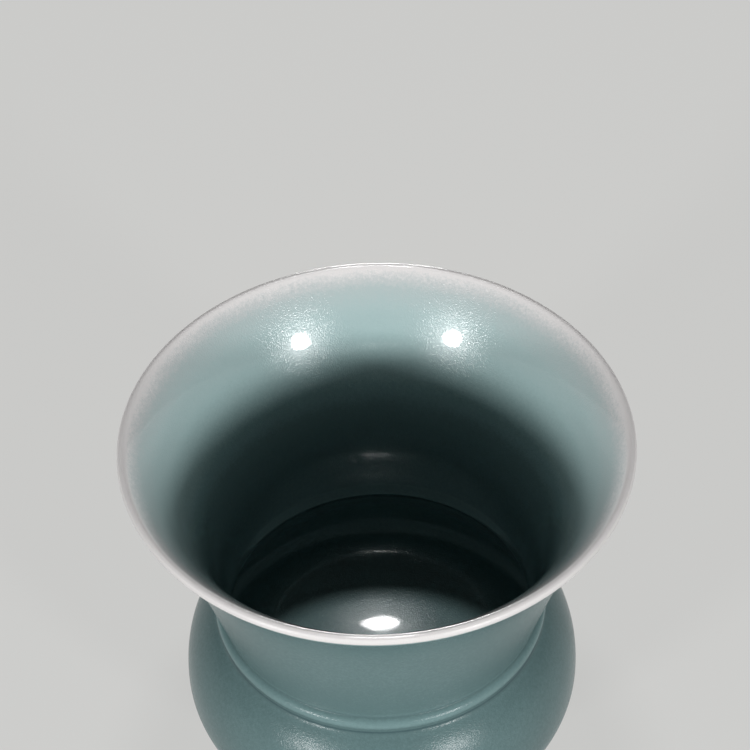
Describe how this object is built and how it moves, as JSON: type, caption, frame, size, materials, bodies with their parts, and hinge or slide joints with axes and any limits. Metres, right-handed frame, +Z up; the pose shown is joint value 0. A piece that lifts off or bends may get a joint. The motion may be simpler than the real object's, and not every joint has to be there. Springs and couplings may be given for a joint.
{
  "type": "zhadou",
  "caption": "Squat round ceramic vessel with a tall flaring trumpet neck, a raised ring at the neck's foot and a low foot ring, in pale green glaze.",
  "frame": {"origin": "centre of the foot ring's resting plane", "axes": "+Z up along the vessel's axis; the vessel is turned, so +X and +Y are any two level directions"},
  "size_m": [0.1498, 0.1498, 0.1374],
  "materials": {
    "stoneware": "fired unglazed stoneware, fine and slightly rough",
    "celadon_glaze": "glossy blue-green celadon, thin and pale on the lip, finely mottled"
  },
  "bodies": {
    "root": {"trumpet_neck": "stoneware", "neck_ring": "stoneware", "upper_belly": "stoneware", "lower_belly": "stoneware", "foot_ring": "stoneware", "outer_glaze": "celadon_glaze", "inner_glaze": "celadon_glaze", "base_glaze": "celadon_glaze"}
  },
  "joints": []
}
